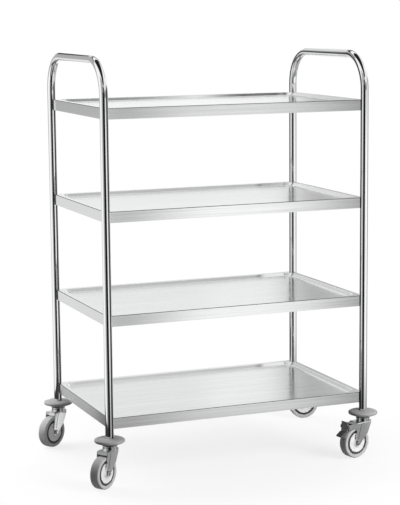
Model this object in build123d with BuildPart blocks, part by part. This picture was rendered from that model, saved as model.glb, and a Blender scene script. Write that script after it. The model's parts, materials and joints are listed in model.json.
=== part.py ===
from build123d import *
import os

# A four-shelf serving trolley. Two round tubes, each bent to an inverted U, carry pressed tray
# shelves between them and stand on swivel casters with round bumpers. Two casters have a brake.
# Millimetres. The origin is on the floor below the middle, +X runs along the length, -Y is the front.

os.makedirs("parts", exist_ok=True)

# End frames: tube sizes and the grid of post axes
post_spacing_x = 830.0
post_spacing_y = 510.0
tube_diameter = 25.0
tube_wall = 1.2
handle_rise = 135.0
bend_radius = 105.0

# Shelves: how far the lowest one clears the bumpers, the pitch of the rims, then the tray section
bottom_shelf_gap = 24.5
lower_bay_pitch = 303.5
top_bay_pitch = 297.0
skirt_height = 32.5
sheet = 1.0
edge_bend_radius = 2.0
return_lip = 12.0
rim_width = 16.0
well_depth = 9.5
well_slope_run = 9.0
well_corner_radius = 32.0
well_top_radius = 3.0
well_floor_radius = 4.0
weld_gap = 0.2

# Wheels
wheel_diameter = 98.0
tyre_width = 29.0
tyre_thickness = 11.5
shoulder_width = 3.5
shoulder_drop = 3.0
hub_inset = 2.5
guard_groove = 6.0
guard_thickness = 1.6
guard_flange_diameter = 24.0
sleeve_diameter = 15.0
axle_diameter = 8.0

# Forks and swivel heads
trail = 35.0
fork_sheet = 2.5
wheel_side_clearance = 2.0
fork_bend_radius = 5.0
crown_clearance = 13.0
crown_front = 21.5
crown_corner_radius = 6.0
crown_back = 38.0
knee_drop = 31.5
knee_front = 6.0
knee_radius = 12.0
leg_end_radius = 9.5
rib_start = 0.2
rib_end = 0.78
rib_top_radius = 9.0
rib_foot_radius = 5.0
rib_height = 0.8
race_diameter = 42.0
race_height = 6.0
cup_diameter = 45.0
cup_height = 8.7
cup_wall = 2.0
cup_roof = 4.5
swivel_gap = 0.8
ball_row_diameter = 32.0
ball_diameter = 5.6
stem_diameter = 12.0
stem_head_diameter = 24.0
stem_head_height = 6.0
stem_reach = 30.0

# Bumpers and tube plugs
bumper_diameter = 90.0
bumper_thickness = 16.0
bumper_rim_height = 7.0
bumper_flat_diameter = 58.0
tube_socket_depth = 4.0
plug_length = 42.0

# Brakes: the pin's distance from the tread and its angle above the axle, then lever and pedal
brake_pin_gap = 13.0
brake_pin_angle = 57.85
brake_pin_diameter = 6.0
brake_pin_head = 10.0
brake_pin_head_height = 1.6
brake_arm_height = 15.0
brake_travel = 8.0
brake_shoe_gap = 0.5
lever_side_clearance = 2.5
brake_plate = 2.6
brake_boss_diameter = 13.0
shoe_low_angle = 22.0
shoe_top_angle = 50.0
lever_back = 6.5
release_tab_foot = 5.0
release_tab_height = 16.0
release_tab_lean = 2.0
pedal_side_clearance = 4.0
pedal_low_angle = 20.0
pedal_top_angle = 46.0
pedal_reach = 26.5
pedal_tip_drop = 31.5
pedal_tip_height = 4.0
pedal_shoulder = 13.0

# Fasteners of the axle
nut_across_flats = 13.0
nut_height = 5.0
bolt_head_height = 5.3
bolt_overhang = 1.2

# Clearances
running_clearance = 0.08
fixed_clearance = 0.03
axial_clearance = 0.4

# Sizes that follow from the ones above
tube_radius = tube_diameter / 2
wheel_radius = wheel_diameter / 2
tyre_seat_radius = wheel_radius - tyre_thickness
fork_gap = tyre_width + 2 * wheel_side_clearance
crown_under = wheel_diameter + crown_clearance
crown_top = crown_under + fork_sheet
race_top = crown_top + race_height
cup_bottom = race_top + swivel_gap
cup_top = cup_bottom + cup_height
bumper_top = cup_top + bumper_thickness
tube_foot = bumper_top - tube_socket_depth
fork_half = fork_gap / 2 + fork_sheet
hub_half = tyre_width / 2 - hub_inset
sleeve_half = hub_half + axial_clearance
brake_pin_reach = Vector(wheel_radius + brake_pin_gap, 0).rotate(Axis.Z, brake_pin_angle)
brake_pin_back = brake_pin_reach.X
brake_pin_up = brake_pin_reach.Y
shoe_outer = wheel_radius + brake_shoe_gap + brake_plate
pedal_seat = shoe_outer + fixed_clearance
pedal_top = Vector(pedal_seat, 0).rotate(Axis.Z, pedal_top_angle).Y - brake_pin_up
bottom_rim_height = bumper_top + bottom_shelf_gap + skirt_height
top_rim_height = bottom_rim_height + 2 * lower_bay_pitch + top_bay_pitch
handle_height = top_rim_height + handle_rise
shelf_rims = {
    "bottom_shelf": bottom_rim_height,
    "lower_shelf": bottom_rim_height + lower_bay_pitch,
    "upper_shelf": bottom_rim_height + 2 * lower_bay_pitch,
    "top_shelf": top_rim_height,
}


class Corner:
    """A post and its caster: where the post stands and which way the wheel trails."""

    def __init__(self, name, side_x, side_y, swivel_angle, braked=False):
        self.name = name
        self.braked = braked
        foot = Vector(side_x * post_spacing_x / 2, side_y * post_spacing_y / 2, 0)
        up = Vector(0, 0, 1)
        back = Vector(1, 0, 0).rotate(Axis.Z, swivel_angle)
        across = back.cross(up)
        # Plan: x back along the trail, z up. Side: x back, y up. Section: x across the wheel, y up.
        self.plan = Plane(origin=foot, x_dir=back, z_dir=up)
        self.side = Plane(origin=foot, x_dir=back, z_dir=across)
        self.section = Plane(origin=foot, x_dir=across, z_dir=across.cross(up))
        self.swivel_axis = Axis(foot, up)
        hub_centre = foot + back * trail + up * wheel_radius
        self.wheel_section = Plane(origin=hub_centre, x_dir=across, z_dir=across.cross(up))
        self.wheel_side = Plane(origin=hub_centre, x_dir=back, z_dir=across)
        self.wheel_axis = Axis(hub_centre, across)
        # The brake is drawn locked, about its pin, in a plane that is turned back to the released rest.
        pin_centre = hub_centre + back * brake_pin_back + up * brake_pin_up
        lifted = back.rotate(Axis((0, 0, 0), across), brake_travel)
        self.pin_side = Plane(origin=pin_centre, x_dir=back, z_dir=across)
        self.pin_section = Plane(origin=pin_centre, x_dir=across, z_dir=across.cross(up))
        self.pin_axis = Axis(pin_centre, across)
        self.brake_side = Plane(origin=pin_centre, x_dir=lifted, z_dir=across)


corners = [
    Corner("front_left", -1, -1, -143.4),
    Corner("front_right", 1, -1, -165.2, braked=True),
    Corner("back_left", -1, 1, -147.7),
    Corner("back_right", 1, 1, -8.6, braked=True),
]


def save(piece, name):
    """Labels a finished piece and writes its file."""
    piece.part.label = name
    export_step(piece.part, f"parts/{name}.step")


def turned(seats, outline):
    """The same outline turned round each seat, a plane and an axis in it."""
    with BuildPart() as piece:
        for plane, axis in seats:
            with BuildSketch(plane):
                with BuildLine():
                    Polyline(*outline, close=True)
                make_face()
            revolve(axis=axis)
    return piece


# End frame: a U of tube standing on its two posts
def make_frame_tube(side_x):
    across = side_x * post_spacing_x / 2
    front = -post_spacing_y / 2
    back = post_spacing_y / 2
    with BuildPart() as tube:
        with BuildLine(Plane.YZ.offset(across)):
            FilletPolyline(
                (front, tube_foot),
                (front, handle_height),
                (back, handle_height),
                (back, tube_foot),
                radius=bend_radius,
            )
        with BuildSketch(Plane((across, front, tube_foot))):
            Circle(tube_radius)
            Circle(tube_radius - tube_wall, mode=Mode.SUBTRACT)
        sweep()
    return tube


# Tray outline from above: a rectangle through the post axes, notched round each post
def tray_outline(inset):
    with BuildSketch() as outline:
        Rectangle(post_spacing_x - 2 * inset, post_spacing_y - 2 * inset)
        with GridLocations(post_spacing_x, post_spacing_y, 2, 2):
            Circle(tube_radius + weld_gap + inset, mode=Mode.SUBTRACT)
    return outline.sketch


# Mouth or floor of the pressed well from above, set in from the rim's inner edge
def well_outline(inset):
    margin = rim_width + inset
    with BuildSketch() as outline:
        RectangleRounded(
            post_spacing_x - 2 * margin,
            post_spacing_y - 2 * margin,
            well_corner_radius - inset,
        )
    return outline.sketch


# Shelf: rim, skirt and return lip bent from one sheet, with the well pressed into it
def make_tray(rim_height):
    lip_plane = Plane.XY.offset(rim_height - skirt_height)
    with BuildPart() as tray:
        with BuildSketch(lip_plane):
            add(tray_outline(0))
        extrude(amount=skirt_height)
        fillet(tray.faces().sort_by(Axis.Z)[-1].edges().filter_by(GeomType.LINE), edge_bend_radius)
        with BuildSketch(lip_plane.offset(sheet)):
            add(tray_outline(sheet))
        extrude(amount=skirt_height - 2 * sheet, mode=Mode.SUBTRACT)
        with BuildSketch(lip_plane):
            add(tray_outline(return_lip))
        extrude(amount=sheet, mode=Mode.SUBTRACT)
        # The well's underside is added first, then its inside is taken out
        for spread, depth, mode in ((sheet, well_depth + sheet, Mode.ADD), (0, well_depth, Mode.SUBTRACT)):
            with BuildSketch(Plane.XY.offset(rim_height)):
                add(well_outline(-spread))
            with BuildSketch(Plane.XY.offset(rim_height - depth)):
                add(well_outline(well_slope_run - spread))
            loft(ruled=True, mode=mode)
        well_floor = tray.faces().filter_by(Plane.XY).filter_by_position(
            Axis.Z, rim_height - well_depth - sheet / 2, rim_height - well_depth + sheet / 2
        )
        fillet(well_floor.edges(), well_floor_radius)
        rim = tray.faces().filter_by(Plane.XY).sort_by(Axis.Z)[-1]
        fillet(rim.inner_wires()[0].edges(), well_top_radius)
    return tray


# Tube plug: a threaded socket driven into the post
def make_tube_plugs(posts):
    inner = stem_diameter / 2 + fixed_clearance
    outer = tube_radius - tube_wall - fixed_clearance
    outline = [
        (inner, tube_foot),
        (outer, tube_foot),
        (outer, tube_foot + plug_length),
        (inner, tube_foot + plug_length),
    ]
    return turned(posts, outline)


# Bumpers: lens-shaped discs with a socket for the post end
def make_bumpers(posts):
    hole = stem_diameter / 2 + fixed_clearance
    socket = tube_radius + weld_gap
    flat = bumper_flat_diameter / 2
    rim = bumper_diameter / 2
    rim_low = cup_top + (bumper_thickness - bumper_rim_height) / 2
    outline = [
        (hole, cup_top),
        (flat, cup_top),
        (rim, rim_low),
        (rim, rim_low + bumper_rim_height),
        (flat, bumper_top),
        (socket, bumper_top),
        (socket, tube_foot),
        (hole, tube_foot),
    ]
    return turned(posts, outline)


# Stems: king pins with a riveted head under the crown
def make_stems(posts):
    shank = stem_diameter / 2
    head = stem_head_diameter / 2
    head_top = crown_under - axial_clearance
    outline = [
        (0, head_top - stem_head_height),
        (head, head_top - stem_head_height),
        (head, head_top),
        (shank, head_top),
        (shank, bumper_top + stem_reach),
        (0, bumper_top + stem_reach),
    ]
    return turned(posts, outline)


# Swivel cups: the upper ball races, pressed on the stems
def make_swivel_cups(posts):
    hole = stem_diameter / 2 + fixed_clearance
    outer = cup_diameter / 2
    outline = [
        (hole, cup_top),
        (outer, cup_top),
        (outer, cup_bottom),
        (outer - cup_wall, cup_bottom),
        (outer - cup_wall, cup_top - cup_roof),
        (hole, cup_top - cup_roof),
    ]
    return turned(posts, outline)


# Ball rings: the rows of balls that the forks turn on, one ring for each row
def make_ball_rings(posts):
    inner = (ball_row_diameter - ball_diameter) / 2
    outer = (ball_row_diameter + ball_diameter) / 2
    high = cup_top - cup_roof
    low = race_top + axial_clearance
    return turned(posts, [(inner, low), (outer, low), (outer, high), (inner, high)])


# Fork: a bent channel cut to the leg's outline, with the lower ball race on its crown
def make_fork(corner):
    reach = 2 * trail
    crown_middle = Vector((crown_back - crown_front) / 2, crown_top)
    leg = Vector(trail, wheel_radius) - crown_middle
    knee = (knee_radius - knee_front, crown_top - knee_drop)
    with BuildPart() as fork:
        with BuildSketch(corner.section) as channel:
            Rectangle(2 * fork_half, crown_top, align=(Align.CENTER, Align.MIN))
            fillet(channel.vertices().group_by(Axis.Y)[-1], fork_bend_radius)
        extrude(amount=reach, both=True)
        with BuildSketch(corner.section) as hollow:
            Rectangle(fork_gap, crown_under, align=(Align.CENTER, Align.MIN))
            fillet(hollow.vertices().group_by(Axis.Y)[-1], fork_bend_radius - fork_sheet)
        extrude(amount=reach, both=True, mode=Mode.SUBTRACT)
        with BuildSketch(corner.side):
            with BuildLine():
                Line((-crown_front, crown_top), (crown_back, crown_top))
                CenterArc(knee, knee_radius, 0, 360)
                CenterArc((trail, wheel_radius), leg_end_radius, 0, 360)
            make_hull()
        extrude(amount=fork_half, both=True, mode=Mode.INTERSECT)
        with BuildSketch(corner.plan) as plan:
            with Locations((-crown_front, 0)):
                Rectangle(crown_front + reach, 2 * fork_half, align=(Align.MIN, Align.CENTER))
            fillet(plan.vertices().group_by(Axis.X)[0], crown_corner_radius)
        extrude(amount=crown_top, mode=Mode.INTERSECT)
        for way in (-1, 1):
            # Stiffening rib, pressed outwards along the leg and narrowing to the axle
            with BuildSketch(corner.side.offset(way * fork_half)):
                with BuildLine():
                    CenterArc(crown_middle + leg * rib_start, rib_top_radius, 0, 360)
                    CenterArc(crown_middle + leg * rib_end, rib_foot_radius, 0, 360)
                make_hull()
            extrude(amount=way * rib_height)
            if corner.braked:
                # Arm that carries the brake's pin
                with BuildSketch(corner.side.offset(way * fork_gap / 2)):
                    with Locations((trail + brake_pin_back, wheel_radius + brake_pin_up)):
                        Circle(brake_arm_height / 2)
                    with Locations((trail, wheel_radius + brake_pin_up)):
                        Rectangle(brake_pin_back, brake_arm_height, align=(Align.MIN, Align.CENTER))
                extrude(amount=way * fork_sheet)
        with BuildSketch(corner.plan.offset(crown_under)):
            Circle(race_diameter / 2)
        extrude(amount=race_top - crown_under)
        with BuildSketch(corner.plan):
            Circle(stem_diameter / 2 + running_clearance)
        extrude(amount=race_top, mode=Mode.SUBTRACT)
        with BuildSketch(corner.wheel_side):
            Circle(axle_diameter / 2 + fixed_clearance)
        extrude(amount=fork_half, both=True, mode=Mode.SUBTRACT)
        if corner.braked:
            with BuildSketch(corner.pin_side):
                Circle(brake_pin_diameter / 2 + fixed_clearance)
            extrude(amount=fork_half, both=True, mode=Mode.SUBTRACT)
    return fork


# Axle: a bolt through both legs, a nut, and a sleeve between the guards that the hub runs on
def make_axle_bolt(corner):
    with BuildPart() as bolt:
        with BuildSketch(corner.wheel_side.offset(fork_half)):
            RegularPolygon(nut_across_flats / 2, 6, major_radius=False)
        extrude(amount=bolt_head_height)
        with BuildSketch(corner.wheel_side.offset(fork_half)):
            Circle(axle_diameter / 2)
        extrude(amount=-(2 * fork_half + nut_height + bolt_overhang))
    return bolt


def make_axle_nut(corner):
    with BuildPart() as nut:
        with BuildSketch(corner.wheel_side.offset(-fork_half)):
            RegularPolygon(nut_across_flats / 2, 6, major_radius=False)
            Circle(axle_diameter / 2 + fixed_clearance, mode=Mode.SUBTRACT)
        extrude(amount=-nut_height)
    return nut


def make_axle_sleeve(corner):
    with BuildPart() as sleeve:
        with BuildSketch(corner.wheel_side):
            Circle(sleeve_diameter / 2)
            Circle(axle_diameter / 2 + fixed_clearance, mode=Mode.SUBTRACT)
        extrude(amount=sleeve_half, both=True)
    return sleeve


# Thread guard: a stepped disc beside the wheel, clamped between the sleeve and a leg
def make_thread_guard(corner, way):
    hole = axle_diameter / 2 + fixed_clearance
    flange = guard_flange_diameter / 2
    rim = tyre_seat_radius - guard_groove
    outline = [
        (way * sleeve_half, hole),
        (way * sleeve_half, rim),
        (way * (sleeve_half + guard_thickness), rim),
        (way * (sleeve_half + guard_thickness), flange),
        (way * fork_gap / 2, flange),
        (way * fork_gap / 2, hole),
    ]
    return turned([(corner.wheel_section, corner.wheel_axis)], outline)


# Wheel: a moulded hub that runs on the sleeve, and a tyre with bevelled shoulders
def make_hub(corner):
    bore = sleeve_diameter / 2 + running_clearance
    rim = tyre_seat_radius - fixed_clearance
    outline = [(-hub_half, bore), (-hub_half, rim), (hub_half, rim), (hub_half, bore)]
    return turned([(corner.wheel_section, corner.wheel_axis)], outline)


def make_tyre(corner):
    side = tyre_width / 2
    tread = side - shoulder_width
    outline = [
        (-side, tyre_seat_radius),
        (-side, wheel_radius - shoulder_drop),
        (-tread, wheel_radius),
        (tread, wheel_radius),
        (side, wheel_radius - shoulder_drop),
        (side, tyre_seat_radius),
    ]
    return turned([(corner.wheel_section, corner.wheel_axis)], outline)


# Brake: a steel lever with a shoe for the tread and a back plate that ends in a release tab, and a
# moulded foot pedal on the shoe. Both are drawn about the pin with the shoe down on the tread.
def make_brake_lever(corner):
    shoe_inner = shoe_outer - brake_plate
    shoe_middle = shoe_outer - brake_plate / 2
    axle = Vector(-brake_pin_back, -brake_pin_up)
    shoe_top = axle + Vector(shoe_middle, 0).rotate(Axis.Z, shoe_top_angle)
    with BuildPart() as lever:
        with BuildSketch(corner.brake_side):
            with BuildLine():
                inner = CenterArc(axle, shoe_inner, shoe_low_angle, shoe_top_angle - shoe_low_angle)
                outer = CenterArc(axle, shoe_outer, shoe_low_angle, shoe_top_angle - shoe_low_angle)
                Line(inner @ 0, outer @ 0)
                Line(inner @ 1, outer @ 1)
            make_face()
            with BuildLine():
                Line(shoe_top, (0, 0))
            trace(line_width=brake_plate)
            with BuildLine():
                Polyline(
                    (lever_back, pedal_top + fixed_clearance),
                    (lever_back, release_tab_foot),
                    (lever_back + release_tab_lean, release_tab_height),
                )
            trace(line_width=brake_plate)
            Circle(brake_boss_diameter / 2)
            Circle(brake_pin_diameter / 2 + running_clearance, mode=Mode.SUBTRACT)
        extrude(amount=fork_gap / 2 - lever_side_clearance, both=True)
    return lever


def make_brake_pedal(corner):
    axle = Vector(-brake_pin_back, -brake_pin_up)
    with BuildPart() as pedal:
        with BuildSketch(corner.brake_side):
            with BuildLine():
                back = CenterArc(axle, pedal_seat, pedal_low_angle, pedal_top_angle - pedal_low_angle)
                Polyline(
                    back @ 0,
                    (pedal_reach, -pedal_tip_drop),
                    (pedal_reach, pedal_tip_height - pedal_tip_drop),
                    (pedal_shoulder, pedal_top),
                    back @ 1,
                )
            make_face()
        extrude(amount=fork_gap / 2 - pedal_side_clearance, both=True)
    return pedal


def make_brake_pin(corner):
    shank = brake_pin_diameter / 2
    head = brake_pin_head / 2
    end = fork_half + brake_pin_head_height
    outline = [
        (-end, 0),
        (-end, head),
        (-fork_half, head),
        (-fork_half, shank),
        (fork_half, shank),
        (fork_half, head),
        (end, head),
        (end, 0),
    ]
    return turned([(corner.pin_section, corner.pin_axis)], outline)


for side_x, name in ((-1, "left_frame_tube"), (1, "right_frame_tube")):
    save(make_frame_tube(side_x), name)
for name, rim_height in shelf_rims.items():
    save(make_tray(rim_height), name)

posts = [(corner.side, corner.swivel_axis) for corner in corners]
save(make_tube_plugs(posts), "tube_plugs")
save(make_bumpers(posts), "bumpers")
save(make_stems(posts), "stems")
save(make_swivel_cups(posts), "swivel_cups")
save(make_ball_rings(posts), "ball_rings")
for corner in corners:
    save(make_fork(corner), f"{corner.name}_fork")
    save(make_axle_bolt(corner), f"{corner.name}_axle_bolt")
    save(make_axle_nut(corner), f"{corner.name}_axle_nut")
    save(make_axle_sleeve(corner), f"{corner.name}_axle_sleeve")
    save(make_thread_guard(corner, 1), f"{corner.name}_head_side_guard")
    save(make_thread_guard(corner, -1), f"{corner.name}_nut_side_guard")
    save(make_hub(corner), f"{corner.name}_hub")
    save(make_tyre(corner), f"{corner.name}_tyre")
    if corner.braked:
        save(make_brake_lever(corner), f"{corner.name}_brake_lever")
        save(make_brake_pedal(corner), f"{corner.name}_brake_pedal")
        save(make_brake_pin(corner), f"{corner.name}_brake_pin")
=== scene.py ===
import json
import math

import bmesh
import bpy
from mathutils import Matrix, Vector


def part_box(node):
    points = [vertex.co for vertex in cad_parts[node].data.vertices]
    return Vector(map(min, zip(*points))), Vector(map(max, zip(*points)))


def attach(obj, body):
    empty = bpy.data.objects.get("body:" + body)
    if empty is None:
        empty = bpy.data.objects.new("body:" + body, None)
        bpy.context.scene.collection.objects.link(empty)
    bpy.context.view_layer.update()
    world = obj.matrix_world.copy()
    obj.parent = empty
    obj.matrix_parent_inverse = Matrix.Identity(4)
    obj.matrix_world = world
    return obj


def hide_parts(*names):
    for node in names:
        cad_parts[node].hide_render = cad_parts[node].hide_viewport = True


# The finished look of a four-shelf serving trolley: polished tube, satin sheet and grey casters.
# Metres. The origin is on the floor below the middle, +X runs along the length, -Y is the front.

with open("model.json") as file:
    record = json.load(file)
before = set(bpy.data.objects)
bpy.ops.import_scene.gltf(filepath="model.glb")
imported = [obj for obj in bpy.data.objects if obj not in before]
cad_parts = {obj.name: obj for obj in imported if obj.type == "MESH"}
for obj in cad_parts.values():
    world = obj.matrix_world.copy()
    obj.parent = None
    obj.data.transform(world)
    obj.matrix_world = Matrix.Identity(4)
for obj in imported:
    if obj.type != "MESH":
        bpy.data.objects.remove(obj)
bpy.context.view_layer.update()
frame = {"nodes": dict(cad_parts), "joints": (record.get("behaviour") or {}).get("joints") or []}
scene = bpy.context.scene
joints = {joint["name"]: joint for joint in frame["joints"]}
corners = ("front_left", "front_right", "back_left", "back_right")
braked_corners = ("front_right", "back_right")

# Sizes that the frame gives. The posts stand at the corners of the shelves, and the axles are as high as the
# wheels' radius.
tray_half_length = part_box("top_shelf")[1].x
tray_half_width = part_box("top_shelf")[1].y
bumper_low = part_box("bumpers")[0].z
bumper_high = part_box("bumpers")[1].z
cup_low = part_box("swivel_cups")[0].z
wheel_radius = joints["front_left_wheel_spin"]["pos_m"][2]

# Camera, solved from the posts and shelf edges of the photograph
camera_place = Vector((-1.916, -4.719, 1.4025))
camera_yaw = math.radians(21.85)
camera_pitch = math.radians(8.53)
camera_roll = math.radians(-0.52)
camera_lens = 117.99
camera_sensor = 36.0
camera_shift = (0.0006, -0.005)

# Studio: the light that matt surfaces get from the white room, and the pale floor with its shadow
room_level = 0.05
floor_radius = 0.85
floor_level = 0.92
floor_bounce = 0.32
floor_roughness = 0.8
shadow_reach = 0.82
shadow_share = 0.2
ring_steps = 96

# Discs that close the studio above and below: their radius, and half the width and the soft edge of a strip
lid_radius = 5.0
strip_half = 2.4
strip_soft = 0.7

# Screens and boards that the metal reflects. A board's lengths are two places along x, which a bend flag
# counts from its post, and its widths are two places along y. A bay board is just below a shelf.
screen_steps = 32
slope_board_widths = (0.1, 0.26)
bend_flag_lengths = (-0.09, 0.08)
bend_flag_widths = (-0.5, -0.14)
bay_board_lengths = (-0.4, 0.4)
bay_board_widths = (0.12, 0.26)
bay_board_gap = 0.0035
bay_board_levels = {"top_shelf": 0.62, "upper_shelf": 0.66, "lower_shelf": 0.8}

# Painted dark reflection on the left and right tubes, down the side that faces into the trolley: the level
# way that side faces, and the cosines of the angles from that way at which the line starts and at which it
# is full
left_painted_line_way = (0.47, -0.883, 0.0)
right_painted_line_way = (-0.981, -0.192, 0.0)
painted_line_start = 0.95
painted_line_full = 0.98
painted_line_colour = (0.06, 0.06, 0.062, 1)

# Shelves: the way of the grain, the radius of the outer bend and the colour of the dark reflection painted
# on it, and the duller underside. How far upward a surface faces, from 1 for up to -1 for down, tells a bend
# and the underside from the rest.
tray_grain = (1.0, 0.02, 0.0)
tray_bend = 0.0028
painted_bend_colour = (0.13, 0.13, 0.133, 1)
bend_upward = 0.55
bend_upward_half = 0.45
bend_upward_soft = 0.2
underside_upward = -0.5
underside_dulling = 0.4

# Tyre: a slightly crowned tread, rounded shoulders and a bevelled bead
tyre_half = 0.0145
tyre_bead = 0.0378
bead_inset = 0.0012
bead_rise = 0.0018
bead_rounding = 0.0004
wall_rounding = 0.0006
shoulder_drop = 0.0024
shoulder_rounding = 0.0014
tread_inset = 0.0030
tread_drop = 0.0004
tread_rounding = 0.0018
crown_rounding = 0.02

# Thread guard: a flat rim, a shallow dish and a raised flange round the bolt hole
guard_radius = 0.0315
guard_hole = 0.0042
guard_back = 0.0125
guard_back_inset = 0.0012
guard_face = 0.014
guard_rim_drop = 0.0006
guard_rim_inset = 0.0016
guard_rim_width = 0.0055
guard_rim_rounding = 0.0007
guard_rim_face_rounding = 0.0010
guard_rim_inner_rounding = 0.0015
guard_dish_depth = 0.0007
guard_dish_inset = 0.0075
guard_dish_rounding = 0.0020
guard_dish_foot_depth = 0.0004
guard_dish_foot = 0.0035
guard_dish_foot_rounding = 0.0040
guard_flange = 0.0118
guard_flange_face = 0.0165
guard_flange_drop = 0.0004
guard_flange_inset = 0.0012
guard_flange_rounding = 0.0008
guard_fine_rounding = 0.0004

# Bumper: a lens-shaped disc with a socket for the post in its top
bumper_radius = 0.045
bumper_flat = 0.0262
bumper_flat_rounding = 0.012
bumper_slope = 0.0372
bumper_slope_drop = 0.0016
bumper_slope_rounding = 0.016
bumper_rim_half = 0.0034
post_radius = 0.0125
post_gap = 0.0003
socket_depth = 0.004
socket_rounding = 0.0008
stem_radius = 0.006
stem_gap = 0.0005

# Swivel cup: a neck, a flared skirt and a hollow for the balls
cup_radius = 0.0225
cup_wall = 0.002
cup_roof = 0.0045
cup_shoulder = 0.0064
cup_shoulder_inset = 0.0006
cup_shoulder_rounding = 0.0016
cup_lip = 0.0006
cup_lip_rounding = 0.0008
cup_fine_rounding = 0.0004
cup_stem_gap = 0.0001
neck_radius = 0.0165
neck_height = 0.0018

# Turned meshes: steps round the axis and round a rounding, and the angle that shades as an edge
turn_steps = 72
rounding_steps = 5
crease_angle = math.radians(40)

# Edge rounding of pressed and cut parts
fork_edge = 0.0006
brake_edge = 0.0007
bolt_edge = 0.0004
edge_steps = 3
edge_angle = math.radians(35)
flat_angle = math.radians(0.5)
merge_distance = 0.000002


def node(tree, kind, inputs=None, **settings):
    """Adds a node. An input is a socket to link from, or else a value."""
    made = tree.nodes.new(kind)
    for name, value in settings.items():
        setattr(made, name, value)
    for socket, value in (inputs or {}).items():
        if isinstance(value, bpy.types.NodeSocket):
            tree.links.new(value, made.inputs[socket])
        else:
            made.inputs[socket].default_value = value
    return made


def math_node(tree, operation, *values):
    made = node(tree, "ShaderNodeMath", dict(enumerate(values)), operation=operation)
    return made.outputs[0]


def vector_node(tree, operation, *values, output="Vector"):
    made = node(tree, "ShaderNodeVectorMath", dict(enumerate(values)), operation=operation)
    return made.outputs[output]


def place_of(tree):
    """The place of a point in the part's own frame."""
    return node(tree, "ShaderNodeTexCoord").outputs["Object"]


def split(tree, vector):
    """The X, Y and Z of a vector."""
    return node(tree, "ShaderNodeSeparateXYZ", {0: vector}).outputs


def spread(tree, value, low, high):
    """A 0 to 1 value laid out from low to high."""
    made = node(tree, "ShaderNodeMapRange", {0: value, 1: 0.0, 2: 1.0, 3: low, 4: high})
    return made.outputs[0]


def eased(tree, value, start, end, low, high):
    """Goes gently from low to high while the value goes from start to end."""
    made = node(
        tree,
        "ShaderNodeMapRange",
        {0: value, 1: start, 2: end, 3: low, 4: high},
        interpolation_type="SMOOTHSTEP",
    )
    return made.outputs[0]


def faded(tree, value, half, soft):
    """1 in the middle of a span, falling to 0 over its soft ends."""
    return eased(tree, math_node(tree, "ABSOLUTE", value), half - soft, half, 1.0, 0.0)


def noise(tree, grain, detail=3.0, roughness=0.55):
    """Noise in the part's own frame, with its own grain count per metre along x, y and z."""
    stretched = vector_node(tree, "MULTIPLY", place_of(tree), grain)
    made = node(tree, "ShaderNodeTexNoise", {
        "Vector": stretched, "Scale": 1.0, "Detail": detail, "Roughness": roughness,
    })
    return made.outputs["Fac"]


def mixed_colour(tree, share, first, second):
    made = node(tree, "ShaderNodeMix", {0: share, 6: first, 7: second}, data_type="RGBA")
    return made.outputs[2]


def tinted(tree, value, dark, light):
    """A colour between two others."""
    return mixed_colour(tree, value, (*dark, 1), (*light, 1))


def bumped(tree, height, strength, distance):
    made = node(tree, "ShaderNodeBump", {"Height": height, "Strength": strength, "Distance": distance})
    return made.outputs["Normal"]


def surface(name):
    """A new material with one Principled shader."""
    material = bpy.data.materials.new(name)
    material.use_nodes = True
    tree = material.node_tree
    tree.nodes.clear()
    shader = node(tree, "ShaderNodeBsdfPrincipled")
    node(tree, "ShaderNodeOutputMaterial", {"Surface": shader.outputs[0]})
    return material, tree, shader


def dress(tree, shader, links, **values):
    """Sets a shader's sockets: links from other nodes, values on the sockets themselves."""
    for socket, source in links.items():
        tree.links.new(source, shader.inputs[socket])
    for socket, value in values.items():
        shader.inputs[socket].default_value = value


def polished_tube():
    """Mirror-like tube, with a painted dark reflection in a line down the side that faces into the trolley.
    """
    material, tree, shader = surface("polished_tube_finish")
    lines = noise(tree, grain=(900, 900, 12))
    haze = noise(tree, grain=(14, 14, 5), detail=4)
    polish = tinted(tree, haze, dark=(0.87, 0.875, 0.88), light=(0.92, 0.92, 0.925))
    normal = node(tree, "ShaderNodeNewGeometry").outputs["Normal"]
    on_right = math_node(tree, "GREATER_THAN", split(tree, place_of(tree))["X"], 0.0)
    painted_line_side = node(
        tree,
        "ShaderNodeMix",
        {0: on_right, 4: left_painted_line_way, 5: right_painted_line_way},
        data_type="VECTOR",
    ).outputs[1]
    # Painted dark reflection: the base colour darkens in a line where the tube faces into the trolley
    facing = vector_node(tree, "DOT_PRODUCT", normal, painted_line_side, output="Value")
    painted_line_share = eased(tree, facing, painted_line_start, painted_line_full, 0.0, 1.0)
    dress(tree, shader, {
        "Base Color": mixed_colour(tree, painted_line_share, polish, painted_line_colour),
        "Roughness": spread(tree, lines, low=0.04, high=0.08),
        "Normal": bumped(tree, haze, strength=0.01, distance=0.0005),
    }, Metallic=1.0)
    return material


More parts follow.
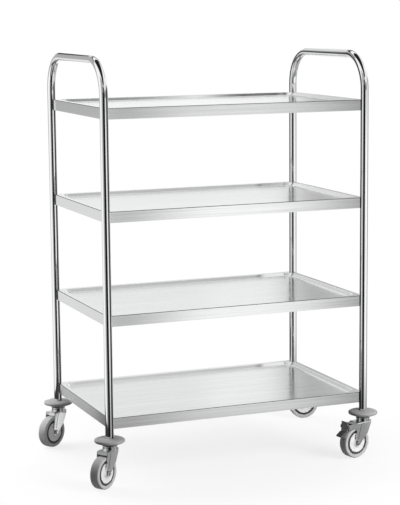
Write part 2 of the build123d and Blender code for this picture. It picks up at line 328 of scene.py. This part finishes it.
def brushed_sheet():
    """Satin sheet with its grain along the length. A dark reflection is painted on its outer bends, and its
    underside is duller.
    """
    material, tree, shader = surface("brushed_sheet_finish")
    normal = node(tree, "ShaderNodeNewGeometry").outputs["Normal"]
    across_grain = vector_node(tree, "CROSS_PRODUCT", tray_grain, normal)
    streaks = noise(tree, grain=(2.5, 210, 210), detail=5, roughness=0.7)
    streaks = spread(tree, streaks, low=-0.7, high=1.7)
    haze = noise(tree, grain=(3, 3, 3), detail=2)
    satin = spread(tree, haze, low=0.15, high=0.20)
    sheet = tinted(tree, streaks, dark=(0.72, 0.723, 0.727), light=(0.90, 0.903, 0.905))
    upward = split(tree, normal)["Z"]
    from_bend = math_node(tree, "SUBTRACT", upward, bend_upward)
    on_bend = faded(tree, from_bend, bend_upward_half, bend_upward_soft)
    place = split(tree, place_of(tree))
    past_edge = math_node(
        tree,
        "MAXIMUM",
        math_node(tree, "SUBTRACT", math_node(tree, "ABSOLUTE", place["X"]), tray_half_length),
        math_node(tree, "SUBTRACT", math_node(tree, "ABSOLUTE", place["Y"]), tray_half_width),
    )
    # Painted dark reflection: a dark line in the base colour along the outer bend at the rim of each shelf
    at_edge = math_node(tree, "GREATER_THAN", past_edge, -tray_bend)
    painted_bend_line = math_node(tree, "MULTIPLY", on_bend, at_edge)
    underside = math_node(tree, "LESS_THAN", upward, underside_upward)
    dress(tree, shader, {
        "Base Color": mixed_colour(tree, painted_bend_line, sheet, painted_bend_colour),
        "Roughness": math_node(tree, "MULTIPLY_ADD", underside, underside_dulling, satin),
        "Normal": bumped(tree, streaks, strength=0.06, distance=0.0003),
        "Tangent": across_grain,
    }, Metallic=1.0, Anisotropic=0.85)
    return material


def plated_steel(name, dark, light, roughness, uneven=0.05):
    """Plated steel with fine streaks and an uneven gloss."""
    material, tree, shader = surface(name)
    streaks = noise(tree, grain=(520, 520, 30))
    spangle = noise(tree, grain=(260, 260, 260), detail=2)
    dress(tree, shader, {
        "Base Color": tinted(tree, streaks, dark, light),
        "Roughness": spread(tree, spangle, roughness - uneven, roughness + uneven),
        "Normal": bumped(tree, streaks, strength=0.05, distance=0.0003),
    }, Metallic=1.0)
    return material


def moulding(name, dark, light, roughness, uneven=0.06):
    """Moulded plastic or rubber with a fine grain and cloudy colour."""
    material, tree, shader = surface(name)
    fine = noise(tree, grain=(900, 900, 900), detail=2)
    haze = noise(tree, grain=(45, 45, 45), detail=4)
    dress(tree, shader, {
        "Base Color": tinted(tree, haze, dark, light),
        "Roughness": spread(tree, haze, roughness - uneven, roughness + uneven),
        "Normal": bumped(tree, fine, strength=0.25, distance=0.0002),
    })
    return material


finishes = {
    "polished_tube": polished_tube(),
    "brushed_sheet": brushed_sheet(),
    "zinc_steel": plated_steel(
        "zinc_steel_finish", dark=(0.60, 0.605, 0.61), light=(0.78, 0.78, 0.785), roughness=0.12,
    ),
    "dark_steel": plated_steel(
        "dark_steel_finish", dark=(0.46, 0.46, 0.465), light=(0.58, 0.58, 0.585), roughness=0.25,
    ),
    "ball_steel": plated_steel(
        "ball_steel_finish", dark=(0.62, 0.62, 0.63), light=(0.72, 0.72, 0.73), roughness=0.16,
    ),
    "bumper_grey": moulding(
        "bumper_grey_finish", dark=(0.34, 0.34, 0.345), light=(0.40, 0.40, 0.405), roughness=0.42,
    ),
    "plug_plastic": moulding(
        "plug_plastic_finish", dark=(0.05, 0.05, 0.05), light=(0.07, 0.07, 0.07), roughness=0.5,
    ),
    "tyre_grey": moulding(
        "tyre_grey_finish", dark=(0.46, 0.46, 0.465), light=(0.54, 0.54, 0.545), roughness=0.62,
    ),
    "hub_plastic": moulding(
        "hub_plastic_finish", dark=(0.035, 0.035, 0.036), light=(0.055, 0.055, 0.056), roughness=0.5,
    ),
    "guard_plastic": moulding(
        "guard_plastic_finish", dark=(0.75, 0.75, 0.75), light=(0.81, 0.81, 0.81), roughness=0.42,
    ),
    "pedal_plastic": moulding(
        "pedal_plastic_finish", dark=(0.07, 0.07, 0.073), light=(0.1, 0.1, 0.103), roughness=0.42,
    ),
}
for part in frame["nodes"].values():
    for holder in part.material_slots:
        holder.material = finishes[holder.material.name]


def add_piece(name, data, body, slot, *replaced):
    """Puts a finished mesh in the scene, in place of the CAD nodes that it shows in more detail."""
    piece = bpy.data.objects.new(name, data)
    scene.collection.objects.link(piece)
    data.materials.clear()
    data.materials.append(finishes[slot])
    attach(piece, body)
    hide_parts(*replaced)
    return piece


def soft_outline(points):
    """Rounds a closed outline: each point is (along, radius, rounding)."""
    outline = []
    count = len(points)
    for k, (along, radius, rounding) in enumerate(points):
        here = Vector((along, radius))
        if rounding == 0:
            outline.append(here)
            continue
        before = Vector(points[k - 1][:2]) - here
        after = Vector(points[(k + 1) % count][:2]) - here
        opening = before.angle(after)
        reach = rounding / math.tan(opening / 2)
        start = here + before.normalized() * reach
        end = here + after.normalized() * reach
        inward = (before.normalized() + after.normalized()).normalized()
        middle = here + inward * (rounding / math.sin(opening / 2))
        first, last = start - middle, end - middle
        sweep = first.angle_signed(last)
        for j in range(rounding_steps + 1):
            outline.append(middle + Matrix.Rotation(-sweep * j / rounding_steps, 2) @ first)
    return outline


def straighten(data):
    """Turns all faces of a closed mesh outwards."""
    mesh = bmesh.new()
    mesh.from_mesh(data)
    bmesh.ops.recalc_face_normals(mesh, faces=mesh.faces)
    mesh.to_mesh(data)
    mesh.free()


def turned(name, outline, seats):
    """A mesh of one closed outline turned about each seat, a centre and an axis."""
    data = bpy.data.meshes.new(name)
    points, faces = [], []
    count = len(outline)
    for centre, axis in seats:
        first = len(points)
        axis = Vector(axis)
        side = axis.orthogonal().normalized()
        other = axis.cross(side)
        for k in range(turn_steps):
            turn = math.tau * k / turn_steps
            out = side * math.cos(turn) + other * math.sin(turn)
            points.extend(Vector(centre) + axis * along + out * radius for along, radius in outline)
        for k in range(turn_steps):
            here, there = first + k * count, first + (k + 1) % turn_steps * count
            for j in range(count):
                following = (j + 1) % count
                faces.append((here + j, there + j, there + following, here + following))
    data.from_pydata(points, [], faces)
    data.validate()
    straighten(data)
    data.shade_smooth()
    data.set_sharp_from_angle(angle=crease_angle)
    return data


def axle_seat(corner):
    """The middle of a wheel and the way of its axle."""
    spin = joints[f"{corner}_wheel_spin"]
    return [(spin["pos_m"], spin["axis"])]


def post_seats():
    """The foot of each post's middle line on the floor, and the way up."""
    return [((*joints[f"{corner}_swivel"]["pos_m"][:2], 0), (0, 0, 1)) for corner in corners]


def make_tyre(corner):
    one_side = [
        (tyre_half - tread_inset, wheel_radius - tread_drop, tread_rounding),
        (tyre_half, wheel_radius - shoulder_drop, shoulder_rounding),
        (tyre_half, tyre_bead + bead_rise, wall_rounding),
        (tyre_half - bead_inset, tyre_bead, bead_rounding),
    ]
    other_side = [(-along, radius, rounding) for along, radius, rounding in reversed(one_side)]
    outline = soft_outline([*other_side, (0, wheel_radius, crown_rounding), *one_side])
    data = turned(f"{corner}_tyre_form", outline, axle_seat(corner))
    add_piece(f"{corner}_tyre_form", data, f"{corner}_wheel", "tyre_grey", f"{corner}_tyre")


def make_guard(corner, side, way):
    """The thread guard on one side of a wheel, whose way along the axle is 1 or -1."""
    dish_floor = guard_face - guard_dish_depth
    dish_foot = guard_face - guard_dish_foot_depth
    outline = soft_outline([
        (way * guard_back, guard_hole, 0),
        (way * guard_back, guard_radius - guard_back_inset, guard_fine_rounding),
        (way * (guard_face - guard_rim_drop), guard_radius, guard_rim_rounding),
        (way * guard_face, guard_radius - guard_rim_inset, guard_rim_face_rounding),
        (way * guard_face, guard_radius - guard_rim_width, guard_rim_inner_rounding),
        (way * dish_floor, guard_radius - guard_dish_inset, guard_dish_rounding),
        (way * dish_foot, guard_flange + guard_dish_foot, guard_dish_foot_rounding),
        (way * (guard_flange_face - guard_flange_drop), guard_flange, guard_flange_rounding),
        (way * guard_flange_face, guard_flange - guard_flange_inset, guard_fine_rounding),
        (way * guard_flange_face, guard_hole, 0),
    ])
    name = f"{corner}_{side}_guard"
    data = turned(f"{name}_form", outline, axle_seat(corner))
    add_piece(f"{name}_form", data, f"{corner}_caster", "guard_plastic", name)


def make_bumpers():
    middle = (bumper_low + bumper_high) / 2
    hole = stem_radius + stem_gap
    socket = post_radius + post_gap
    outline = soft_outline([
        (bumper_low, hole, 0),
        (bumper_low, bumper_flat, bumper_flat_rounding),
        (bumper_low + bumper_slope_drop, bumper_slope, bumper_slope_rounding),
        (middle - bumper_rim_half, bumper_radius, bumper_rim_half),
        (middle + bumper_rim_half, bumper_radius, bumper_rim_half),
        (bumper_high - bumper_slope_drop, bumper_slope, bumper_slope_rounding),
        (bumper_high, bumper_flat, bumper_flat_rounding),
        (bumper_high, socket, socket_rounding),
        (bumper_high - socket_depth, socket, 0),
        (bumper_high - socket_depth, hole, 0),
    ])
    data = turned("bumper_forms", outline, post_seats())
    add_piece("bumper_forms", data, "frame", "bumper_grey", "bumpers")


def make_swivel_cups():
    hole = stem_radius + cup_stem_gap
    hollow = cup_radius - cup_wall
    outline = soft_outline([
        (bumper_low, hole, 0),
        (bumper_low, neck_radius, 0),
        (bumper_low - neck_height, neck_radius, cup_fine_rounding),
        (bumper_low - cup_shoulder, cup_radius - cup_shoulder_inset, cup_shoulder_rounding),
        (cup_low + cup_lip, cup_radius, cup_lip_rounding),
        (cup_low, cup_radius, cup_fine_rounding),
        (cup_low, hollow, cup_fine_rounding),
        (bumper_low - cup_roof, hollow, 0),
        (bumper_low - cup_roof, hole, 0),
    ])
    data = turned("swivel_cup_forms", outline, post_seats())
    add_piece("swivel_cup_forms", data, "frame", "zinc_steel", "swivel_cups")


def soften(node_name, body, slot, edge):
    """A CAD part shown again with its sharp edges rounded."""
    data = frame["nodes"][node_name].data.copy()
    data.name = f"{node_name}_form"
    mesh = bmesh.new()
    mesh.from_mesh(data)
    bmesh.ops.remove_doubles(mesh, verts=mesh.verts, dist=merge_distance)
    bmesh.ops.dissolve_limit(mesh, angle_limit=flat_angle, verts=mesh.verts, edges=mesh.edges)
    mesh.to_mesh(data)
    mesh.free()
    if data.has_custom_normals:
        data.attributes.remove(data.attributes["custom_normal"])
    data.shade_smooth()
    piece = add_piece(f"{node_name}_form", data, body, slot, node_name)
    bevel = piece.modifiers.new("edges", "BEVEL")
    bevel.width = edge
    bevel.segments = edge_steps
    bevel.limit_method = "ANGLE"
    bevel.angle_limit = edge_angle
    bevel.harden_normals = True


make_bumpers()
make_swivel_cups()
for corner in corners:
    make_tyre(corner)
    make_guard(corner, "head_side", way=1)
    make_guard(corner, "nut_side", way=-1)
    soften(f"{corner}_fork", f"{corner}_caster", "zinc_steel", fork_edge)
    soften(f"{corner}_axle_bolt", f"{corner}_caster", "zinc_steel", bolt_edge)
    soften(f"{corner}_axle_nut", f"{corner}_caster", "dark_steel", bolt_edge)
for corner in braked_corners:
    soften(f"{corner}_brake_lever", f"{corner}_brake", "zinc_steel", brake_edge)
    soften(f"{corner}_brake_pedal", f"{corner}_brake", "pedal_plastic", brake_edge)
    soften(f"{corner}_brake_pin", f"{corner}_caster", "zinc_steel", bolt_edge)


def make_camera():
    turn_cos, turn_sin = math.cos(camera_roll), math.sin(camera_roll)
    ahead = Vector((
        math.sin(camera_yaw) * math.cos(camera_pitch),
        math.cos(camera_yaw) * math.cos(camera_pitch),
        -math.sin(camera_pitch),
    ))
    level_right = Vector((math.cos(camera_yaw), -math.sin(camera_yaw), 0))
    level_up = level_right.cross(ahead)
    right = turn_cos * level_right + turn_sin * level_up
    up = turn_cos * level_up - turn_sin * level_right
    data = bpy.data.cameras.new("camera")
    data.lens = camera_lens
    data.sensor_width = camera_sensor
    data.shift_x, data.shift_y = camera_shift
    camera = bpy.data.objects.new("camera", data)
    turn = Matrix((right, up, -ahead)).transposed().to_4x4()
    camera.matrix_world = Matrix.Translation(camera_place) @ turn
    scene.collection.objects.link(camera)
    scene.camera = camera


def seen_directly(tree):
    """1 for a ray that the camera, a reflection or a clear part sends, 0 for diffuse light."""
    path = node(tree, "ShaderNodeLightPath").outputs
    mirrored = math_node(tree, "MAXIMUM", path["Is Glossy Ray"], path["Is Transmission Ray"])
    return math_node(tree, "MAXIMUM", path["Is Camera Ray"], mirrored)


def make_world():
    scene.world = bpy.data.worlds.new("studio")
    scene.world.use_nodes = True
    tree = scene.world.node_tree
    level = spread(tree, seen_directly(tree), room_level, 1.0)
    tree.links.new(level, tree.nodes["Background"].inputs["Color"])


def ring(radius, height):
    turns = [math.tau * k / ring_steps for k in range(ring_steps)]
    return [(radius * math.cos(turn), radius * math.sin(turn), height) for turn in turns]


def make_floor():
    """A pale round floor that fades to plain white away from the trolley's shadow."""
    data = bpy.data.meshes.new("floor")
    data.from_pydata(ring(floor_radius, 0), [], [range(ring_steps)])
    floor = bpy.data.objects.new("floor", data)
    scene.collection.objects.link(floor)
    floor.visible_glossy = False
    material, tree, shader = surface("floor_white")
    direct = seen_directly(tree)
    shade = spread(tree, direct, floor_bounce, floor_level)
    dress(tree, shader, {"Base Color": shade}, Roughness=floor_roughness)
    distance = vector_node(tree, "LENGTH", place_of(tree), output="Value")
    fade = eased(tree, distance, shadow_reach / 2, shadow_reach, 1 - shadow_share, 1.0)
    share = math_node(tree, "MULTIPLY", fade, direct)
    white = node(tree, "ShaderNodeEmission", {"Color": (1, 1, 1, 1), "Strength": 1.0})
    mixed = node(tree, "ShaderNodeMixShader", {0: share, 1: shader.outputs[0], 2: white.outputs[0]})
    tree.links.new(mixed.outputs[0], tree.nodes["Material Output"].inputs["Surface"])
    data.materials.append(material)


def aside(angle):
    """A level direction from the trolley, in degrees to the right of the one to the camera."""
    turn = math.radians(angle) - camera_yaw
    return Vector((math.sin(turn), -math.cos(turn), 0))


def make_lamp(name, angle, rise, distance, size, level, target=(0, 0, 0.5)):
    """A square soft lamp that lights a surface facing it at the target to the given level."""
    data = bpy.data.lights.new(name, "AREA")
    data.size = size
    data.energy = level * math.pi * math.pi * distance * distance
    lamp = bpy.data.objects.new(name, data)
    way = aside(angle) * math.cos(math.radians(rise)) + Vector((0, 0, math.sin(math.radians(rise))))
    turn = way.to_track_quat("Z", "Y").to_matrix().to_4x4()
    lamp.matrix_world = Matrix.Translation(Vector(target) + way * distance) @ turn
    lamp.visible_glossy = False
    scene.collection.objects.link(lamp)


def only_glossy(screen):
    """Puts a screen in the studio that only reflections see."""
    screen.visible_camera = False
    screen.visible_diffuse = False
    screen.visible_transmission = False
    screen.visible_shadow = False
    scene.collection.objects.link(screen)


def glow(name, level):
    """A new material with an even brightness, which still has to be linked to an output."""
    material = bpy.data.materials.new(name)
    material.use_nodes = True
    tree = material.node_tree
    tree.nodes.clear()
    return material, tree, node(tree, "ShaderNodeEmission", {"Color": (level, level, level, 1)})


def show_where(tree, cover, grey):
    """Links a brightness to the output where the cover is 1, and leaves the rest clear."""
    clear = node(tree, "ShaderNodeBsdfTransparent")
    mixed = node(tree, "ShaderNodeMixShader", {0: cover, 1: clear.outputs[0], 2: grey.outputs[0]})
    node(tree, "ShaderNodeOutputMaterial", {"Surface": mixed.outputs[0]})


def make_screen(name, turns, heights, level, distance, side_soft=4.0, end_soft=0.5):
    """A grey studio screen that curves round the trolley, between two angles in degrees and two heights.
    Its sides are soft by so many degrees, its ends by so many metres."""
    start, end = turns
    low, high = heights
    angles = [start + (end - start) * k / screen_steps for k in range(screen_steps + 1)]
    foot = [aside(angle) * distance + Vector((0, 0, low)) for angle in angles]
    head = [aside(angle) * distance + Vector((0, 0, high)) for angle in angles]
    above = len(foot)
    faces = [(k, k + 1, above + k + 1, above + k) for k in range(screen_steps)]
    data = bpy.data.meshes.new(name)
    data.from_pydata([*foot, *head], [], faces)
    half_turn = (end - start) / 2
    from_middle = data.attributes.new("turn", "FLOAT", "POINT")
    from_middle.data.foreach_set("value", [angle - start - half_turn for angle in angles] * 2)
    only_glossy(bpy.data.objects.new(name, data))
    material, tree, grey = glow(name, level)
    turn = node(tree, "ShaderNodeAttribute", attribute_name="turn").outputs["Fac"]
    height = math_node(tree, "SUBTRACT", split(tree, place_of(tree))["Z"], (low + high) / 2)
    cover = math_node(
        tree,
        "MULTIPLY",
        faded(tree, turn, half_turn, side_soft),
        faded(tree, height, (high - low) / 2, end_soft),
    )
    show_where(tree, cover, grey)
    data.materials.append(material)


def make_lid(name, height, level, strip_level=None):
    """A level grey disc that closes the ring of screens above or below. A strip of another level can run
    across its middle, towards the camera."""
    data = bpy.data.meshes.new(name)
    data.from_pydata(ring(lid_radius, height), [], [range(ring_steps)])
    only_glossy(bpy.data.objects.new(name, data))
    material, tree, grey = glow(name, level)
    if strip_level is not None:
        across = vector_node(tree, "DOT_PRODUCT", place_of(tree), aside(90), output="Value")
        on_strip = faded(tree, across, strip_half, strip_soft)
        tree.links.new(spread(tree, on_strip, level, strip_level), grey.inputs["Color"])
    node(tree, "ShaderNodeOutputMaterial", {"Surface": grey.outputs[0]})
    data.materials.append(material)


def make_board(name, lengths, widths, height, level, soft=0.01):
    """A small level board close to the trolley, between two places along x and along y.
    Its ends along x are soft."""
    left, right = lengths
    front, back = widths
    outline = [(left, front, height), (right, front, height), (right, back, height), (left, back, height)]
    data = bpy.data.meshes.new(name)
    data.from_pydata(outline, [], [range(4)])
    only_glossy(bpy.data.objects.new(name, data))
    material, tree, grey = glow(name, level)
    along = math_node(tree, "SUBTRACT", split(tree, place_of(tree))["X"], (left + right) / 2)
    show_where(tree, faded(tree, along, (right - left) / 2, soft), grey)
    data.materials.append(material)


make_camera()
make_world()
make_floor()

# Lamps, which reflections don't see
make_lamp("right_lamp", angle=60, rise=24, distance=3.5, size=1.8, level=0.95)
make_lamp("low_right_lamp", angle=52, rise=3, distance=3.5, size=0.6, level=0.18, target=(0, 0, 0.08))
make_lamp("top_lamp", angle=150, rise=80, distance=3.0, size=2.2, level=0.3)
make_lamp("left_lamp", angle=-132, rise=28, distance=3.5, size=1.8, level=0.45)
make_lamp(
    "left_low_lamp", angle=-92, rise=40, distance=0.7, size=0.4, level=1.0, target=(-0.42, 0.25, 0.1),
)

# The room that the metal reflects: a lid above, one below and a grey wall
make_lid("ceiling", height=5.5, level=1.0)
make_lid("cellar", height=-4.9, level=0.5, strip_level=0.02)
make_screen("room_wall", turns=(-156, 176), heights=(-5, 6), level=0.45, distance=5.0)
make_screen("left_low_wall", turns=(-160, 20), heights=(-5, -0.75), level=0.08, distance=4.9)

# Dark screens on the camera's side, for the dark middle line of each post
make_screen("front_screen", turns=(-29, 28), heights=(-5, 1.5), level=0.012, distance=4.8, end_soft=0.2)
make_screen(
    "front_middle_screen", turns=(-16, 16), heights=(1.2, 3.3), level=0.012, distance=4.75, end_soft=0.2,
)
make_screen(
    "front_upper_screen",
    turns=(-30, 28), heights=(1.2, 2.0), level=0.02, distance=4.4, side_soft=6, end_soft=0.3,
)

# Bright cards and grey walls on the right, for the skirts and the right side of each post
make_screen("near_right_card", turns=(26, 36), heights=(-0.95, 1.4), level=1.2, distance=4.6)
make_screen(
    "right_card",
    turns=(32, 55.8), heights=(-1.45, 1.5), level=1.24, distance=4.5, side_soft=10, end_soft=1.0,
)
make_screen("far_right_card", turns=(55, 92), heights=(-0.95, 1.0), level=1.2, distance=4.6, end_soft=0.4)
make_screen("far_right_high_card", turns=(55, 92), heights=(0.4, 6), level=0.85, distance=4.62)
make_screen(
    "low_right_card",
    turns=(98, 108.5), heights=(-1.9, -0.95), level=1.15, distance=4.6, side_soft=2.5, end_soft=0.2,
)
make_screen("low_far_wall", turns=(106, 173), heights=(-5, -0.5), level=0.46, distance=4.85, end_soft=0.3)
make_screen("low_right_wall", turns=(58, 100), heights=(-5, -0.6), level=0.36, distance=4.75, end_soft=0.3)
make_screen("high_right_card", turns=(112, 166), heights=(1.6, 3.4), level=1.3, distance=4.6, side_soft=6)
make_screen("top_right_card", turns=(30, 112), heights=(2.2, 6), level=1.0, distance=4.65, side_soft=6)
make_screen("skirt_wall", turns=(30, 62), heights=(-5, 6), level=0.22, distance=4.7, side_soft=5)
make_screen("right_wall", turns=(58, 112), heights=(-5, 6), level=0.25, distance=4.8)
make_screen("far_right_wall", turns=(108, 173), heights=(-5, 6), level=0.62, distance=4.9, side_soft=5)

# Cards and screens on the left and behind, for the left side of each post and the shelves
make_screen("left_card", turns=(-108, -50), heights=(-0.48, 5), level=1.0, distance=2.6, end_soft=0.1)
make_screen(
    "left_back_card",
    turns=(-154, -118), heights=(-0.95, 0.9), level=0.85, distance=4.4, side_soft=6, end_soft=0.6,
)
make_screen(
    "left_back_low_card",
    turns=(-154, -118), heights=(-2.2, -0.35), level=0.4, distance=4.45, side_soft=6, end_soft=0.4,
)
make_screen(
    "left_back_patch",
    turns=(-182, -142), heights=(1.2, 4.6), level=0.75, distance=4.6, side_soft=3, end_soft=0.3,
)
make_screen("left_back_screen", turns=(-168, -100), heights=(4.2, 6), level=0.03, distance=4.7, side_soft=6)
make_screen(
    "back_card",
    turns=(166.5, 204), heights=(0.9, 2.3), level=0.98, distance=2.5, side_soft=6, end_soft=0.35,
)
make_screen(
    "back_high_card",
    turns=(166.5, 204), heights=(1.15, 2.3), level=1.2, distance=2.45, side_soft=6, end_soft=0.35,
)
make_screen("back_screen", turns=(150, 210), heights=(4.0, 6), level=0.04, distance=4.95, side_soft=6)

# Flags and boards close to the trolley: behind the left handle bar, above the well of the top shelf and the
# front bends of the handles, under the upper three shelves, and low beside the casters and brake levers
make_screen(
    "bar_flag",
    turns=(-156, -124), heights=(1.3, 1.85), level=0.03, distance=1.2, side_soft=14, end_soft=0.25,
)
make_board("slope_flag", lengths=(0.2, 0.8), widths=slope_board_widths, height=1.5, level=0.06, soft=0.2)
make_board("slope_shade", lengths=(-0.6, 0.3), widths=slope_board_widths, height=1.52, level=0.25, soft=0.35)
for post in (-tray_half_length, tray_half_length):
    lengths = [post + place for place in bend_flag_lengths]
    make_board("bend_flag", lengths, bend_flag_widths, height=1.33, level=0.015, soft=0.03)
for shelf, level in bay_board_levels.items():
    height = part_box(shelf)[0].z - bay_board_gap
    make_board("bay_board", bay_board_lengths, bay_board_widths, height, level)
make_screen(
    "caster_flag",
    turns=(-112, -28), heights=(-0.3, 0.078), level=0.04, distance=0.93, side_soft=3, end_soft=0.015,
)
make_screen(
    "lever_flag",
    turns=(-170, -10), heights=(-0.2, 0.095), level=0.08, distance=0.12, side_soft=3, end_soft=0.05,
)

scene.view_settings.view_transform = "Standard"
